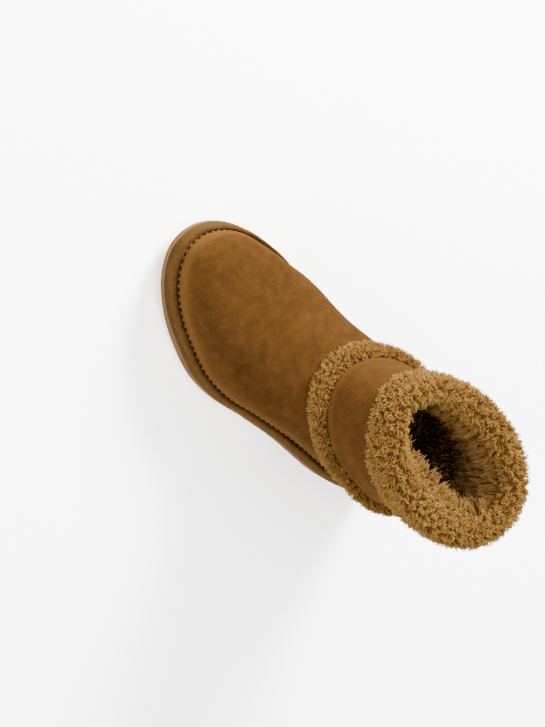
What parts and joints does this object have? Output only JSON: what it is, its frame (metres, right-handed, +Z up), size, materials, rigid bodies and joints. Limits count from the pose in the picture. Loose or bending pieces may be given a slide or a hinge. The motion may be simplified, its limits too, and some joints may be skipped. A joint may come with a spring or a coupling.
{
  "type": "sheepskin boot",
  "caption": "Ankle-high suede boot with curly pile round the ankle seam and over the collar, on a foam sole with a zigzag tread.",
  "frame": {"origin": "on the floor under the middle of the boot's box", "axes": "+Z up, the toe towards -Y and the heel towards +Y, the outer (lateral) side of the foot towards +X"},
  "size_m": [0.1104, 0.267, 0.1721],
  "materials": {
    "outsole_foam": "matt closed-cell foam, tan",
    "rand_suede": "matt suede, brown",
    "upper_suede": "brushed suede, chestnut",
    "pile": "curly pile, honey brown",
    "insole_fleece": "short fleece, brown"
  },
  "bodies": {
    "root": {"outsole": "outsole_foam", "rand": "rand_suede", "upper": "upper_suede", "insole": "insole_fleece", "ankle_trim": "pile", "cuff": "pile"}
  },
  "joints": []
}
